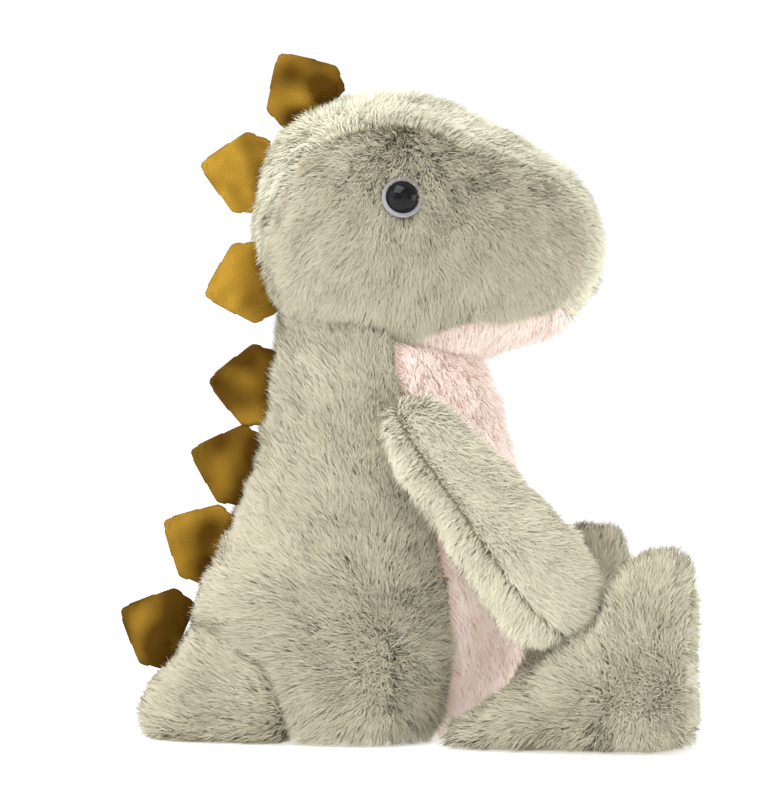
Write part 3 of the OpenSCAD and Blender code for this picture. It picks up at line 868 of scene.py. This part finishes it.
def cushion():
    """A swollen velvet plate in its own place: X across, Z outwards, Y through it, in mm."""
    rim = pentagon()
    middle = np.array([0.0, 9.0])
    rows = 1 - np.linspace(0, 1, 14)[:, None, None] ** 1.3
    spread = middle + (rim[None] - middle) * rows
    swell = 1.1 * np.sqrt(np.clip(1 - rows[:, :, 0] ** 2, 0, 1)) + 0.25
    front = np.stack([spread[..., 0], -swell * np.ones(len(rim)), spread[..., 1]], -1)
    back = front * [1, -1, 1]
    rings = np.concatenate([front[::-1], back[1:]])
    piece = ring_skin("plate_form_1", rings * GROW)
    bpy.context.view_layer.objects.active = piece
    remesh = piece.modifiers.new("even", "REMESH")
    remesh.mode = "VOXEL"
    remesh.voxel_size = 0.9 * GROW * MM
    deps = bpy.context.evaluated_depsgraph_get()
    mesh = bpy.data.meshes.new_from_object(piece.evaluated_get(deps))
    piece.modifiers.clear()
    piece.data = mesh
    co = np.empty(len(mesh.vertices) * 3, np.float32)
    mesh.vertices.foreach_get("co", co)
    start = co.reshape(-1, 3).astype(float)
    apart = start[:, None, ::2] - rim[None] * GROW * MM
    near_rim = np.sqrt((apart ** 2).sum(-1).min(1))
    pins = piece.vertex_groups.new(name="seam")
    level = np.round(10 * np.clip(1 - near_rim / (1.4 * GROW * MM), 0, 1)).astype(int)
    for step in range(1, 11):
        pins.add(np.nonzero(level == step)[0].tolist(), step / 10, "REPLACE")
    cloth = piece.modifiers.new("cloth", "CLOTH")
    cloth.settings.quality = 6
    cloth.settings.mass = 0.3
    cloth.settings.tension_stiffness = 12
    cloth.settings.compression_stiffness = 12
    cloth.settings.bending_stiffness = 0.4
    cloth.settings.use_pressure = True
    cloth.settings.uniform_pressure_force = 3.0
    cloth.settings.shrink_min = -0.05
    cloth.settings.vertex_group_mass = "seam"
    cloth.settings.effector_weights.gravity = 0
    for frame_number in range(1, 21):
        bpy.context.scene.frame_set(frame_number)
    deps = bpy.context.evaluated_depsgraph_get()
    done = bpy.data.meshes.new_from_object(piece.evaluated_get(deps))
    piece.modifiers.clear()
    done.vertices.foreach_get("co", co)
    bpy.context.scene.frame_set(1)
    moved = co.reshape(-1, 3).astype(float) - start
    far = np.linalg.norm(moved, axis=1, keepdims=True)
    cap = SWELL_CAP * GROW * MM
    start = start + moved * np.minimum(1, cap / np.maximum(far, 1e-9))
    faces = np.empty(len(mesh.loops), np.int32)
    mesh.loops.foreach_get("vertex_index", faces)
    sizes = np.empty(len(mesh.polygons), np.int32)
    mesh.polygons.foreach_get("loop_total", sizes)
    bpy.data.objects.remove(piece)
    return start / GROW / MM, faces, sizes


form, form_faces, form_sizes = cushion()
print("plate form", len(form), "points, from", form.min(0).round(1), "to", form.max(0).round(1))


# %% Back plates: velvet and placing
def velvet_material():
    """Velvet: pile turned light or dark by touch, painted shade towards the root and in a hollow,
    fine slanting ribs, a darker seam, a sheen.
    """
    material, tree, shader = new_material("gold_velvet", 0.75, Sheen_Weight=0.04,
                                          Sheen_Roughness=0.3, Specular_IOR_Level=0.06)
    shader.inputs["Sheen Tint"].default_value = (1.0, 0.80, 0.40, 1)
    own = tree.nodes.new("ShaderNodeAttribute")
    own.attribute_name = "cloth_place"
    marks = tree.nodes.new("ShaderNodeAttribute")
    marks.attribute_name = "cloth_shade"
    split = tree.nodes.new("ShaderNodeSeparateXYZ")
    tree.links.new(marks.outputs["Vector"], split.inputs[0])
    wave = tree.nodes.new("ShaderNodeTexWave")
    wave.bands_direction = "DIAGONAL"
    wave.inputs["Scale"].default_value = 0.62
    wave.inputs["Distortion"].default_value = 0.8
    wave.inputs["Detail"].default_value = 1.0
    tree.links.new(own.outputs["Vector"], wave.inputs["Vector"])
    grain = noise_node(tree, own.outputs["Vector"], 2.2, 3)
    # the first number of cloth_shade holds the pile's tone together with painted shade
    body = mix_color(tree, split.outputs["X"], (0.54, 0.31, 0.035, 1), (0.07, 0.028, 0.0005, 1))
    speck = math_node(tree, "MULTIPLY", grain, 0.35)
    body = mix_color(tree, speck, body, (0.13, 0.07, 0.003, 1))
    ribs = math_node(tree, "MULTIPLY", wave.outputs["Fac"], 0.4)
    body = mix_color(tree, ribs, body, (0.07, 0.035, 0.003, 1))
    seam = math_node(tree, "MULTIPLY", split.outputs["Y"], 0.8)
    body = mix_color(tree, seam, body, (0.07, 0.032, 0.003, 1))
    tree.links.new(body, shader.inputs["Base Color"])
    height = tree.nodes.new("ShaderNodeBump")
    height.inputs["Strength"].default_value = 0.5
    height.inputs["Distance"].default_value = 0.0003
    tree.links.new(wave.outputs["Fac"], height.inputs["Height"])
    tree.links.new(height.outputs["Normal"], shader.inputs["Normal"])
    return material


VELVET = velvet_material()
DARKNESS = [0.62, 0.12, 0.2, 0.8, 0.68, 0.58, 0.92]   # how far each plate's pile is turned dark


def plate(k, x, z, angle):
    """The cushion, bent a little in its own way, set on the back at (x, z) and pointing out."""
    rng = np.random.default_rng(500 + k)
    p = form.copy()
    reach = np.clip(p[:, 2] / PLATE_REACH, 0, 1)
    bend, twist, fold = rng.uniform(-2.2, 2.2, 3)
    p[:, 1] += bend * reach ** 2 + twist * 0.8 * reach * p[:, 0] / 15
    p[:, 1] += 1.1 * fold * np.sin(p[:, 0] / 15 * 1.9 + k) * np.cos(p[:, 2] / 22 * 2.4 + k)
    p[:, 0] *= 1 + 0.04 * np.sin(k * 2.1) * reach
    p[:, 1] += 0.3 * ripple(p * [1, 0.2, 1], 10, 600 + k)
    rim = pentagon()
    flat = np.stack([form[:, 0], form[:, 2]], -1)
    gap = np.sqrt(((flat[:, None] - rim[None]) ** 2).sum(-1).min(1))
    t = math.radians(angle)
    out = np.array([math.cos(t), 0, math.sin(t)])
    across = np.array([math.sin(t), 0, -math.cos(t)])
    place = (np.array([x, 0, z]) + p[:, :1] * across + p[:, 2:] * out
             + p[:, 1:2] * np.array([0, 1, 0]))
    piece = fill_mesh(f"velvet_plate_{k}", place * MM, form_faces, form_sizes)
    spots = piece.data.attributes.new("cloth_place", "FLOAT_VECTOR", "POINT")
    spots.data.foreach_set("vector", (form + [0, 0, 30 * k]).astype(np.float32).ravel())
    # painted shade: the pile is darker towards the plate's root and in a hollow near the root, most
    # on the first plate
    hollow_shade = np.exp(-((form[:, 0] - 5) ** 2 + (form[:, 2] - 3) ** 2) / 50)
    dark = (DARKNESS[k - 1] + 0.20 * ripple(form * [1, 0, 1], 15, 700 + k) - 0.18 * (reach - 0.4)
            + (0.75 if k == 1 else 0.25) * hollow_shade)
    tone = np.stack([np.clip(dark, 0, 1), np.clip(1 - gap / 0.8, 0, 1), 0 * dark], -1)
    marks = piece.data.attributes.new("cloth_shade", "FLOAT_VECTOR", "POINT")
    marks.data.foreach_set("vector", tone.astype(np.float32).ravel())
    smooth = piece.modifiers.new("smooth", "SUBSURF")
    smooth.levels = 1
    smooth.render_levels = 1
    piece.data.materials.append(VELVET)
    add(piece, f"plate_{k}", "gold_velvet", f"back_plate_{k}")


for k, spot in enumerate(PLATES, 1):
    plate(k, *spot)

# %% [markdown]
# ## Eyes and the hidden pieces
# The eyes are the hard parts of the toy, so their turned shapes from the frame stay, and only
# get a finish. The felt ring under each one is cut by hand, and its edge shows that.

# %% Eyes and hidden pieces
def gloss_black():
    """A moulded eye: black with a clear shine, and fine dust that roughens it here and there."""
    material, tree, shader = new_material("gloss_black", 0.06, Specular_IOR_Level=0.3, IOR=1.38)
    shader.inputs["Base Color"].default_value = (0.004, 0.004, 0.005, 1)
    place = tree.nodes.new("ShaderNodeTexCoord").outputs["Object"]
    dust = noise_node(tree, place, 900)
    rough = math_node(tree, "MULTIPLY", dust, 0.12)
    tree.links.new(rough, shader.inputs["Roughness"])
    return material


FELT = cloth_material("grey_felt", (0.30, 0.30, 0.32), (0.50, 0.50, 0.53), 1500, 0.6)
FIBRE = cloth_material("fibre_filling", (0.75, 0.75, 0.72), (0.9, 0.9, 0.88), 300, 0.8)
POUCH = cloth_material("pouch_cloth", (0.5, 0.47, 0.38), (0.66, 0.62, 0.52), 800, 0.5)
WASHER = cloth_material("washer_plastic", (0.7, 0.7, 0.68), (0.8, 0.8, 0.78), 200, 0.05)
EYE_BLACK = gloss_black()
for label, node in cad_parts.items():
    finish = None
    if label.startswith("eye_ring"):
        finish = FELT
    elif label.startswith("eye_washer"):
        finish = WASHER
    elif label.startswith("eye_"):
        finish = EYE_BLACK
    elif label.endswith("stuffing") or "stuffing_" in label:
        finish = FIBRE
    elif label == "bean_bag":
        finish = POUCH
    if finish:
        node.data.materials.clear()
        node.data.materials.append(finish)

# %% Floor
floor = fill_mesh("floor", np.array([[-3, -3, 0], [3, -3, 0], [3, 3, 0], [-3, 3, 0.0]]),
                  np.arange(4), np.array([4]))
material, tree, shader = new_material("pale_floor", 0.9)
shader.inputs["Base Color"].default_value = (0.92, 0.92, 0.92, 1)
shader.inputs["Emission Color"].default_value = (1, 1, 1, 1)
shader.inputs["Emission Strength"].default_value = 0.55
floor.data.materials.append(material)
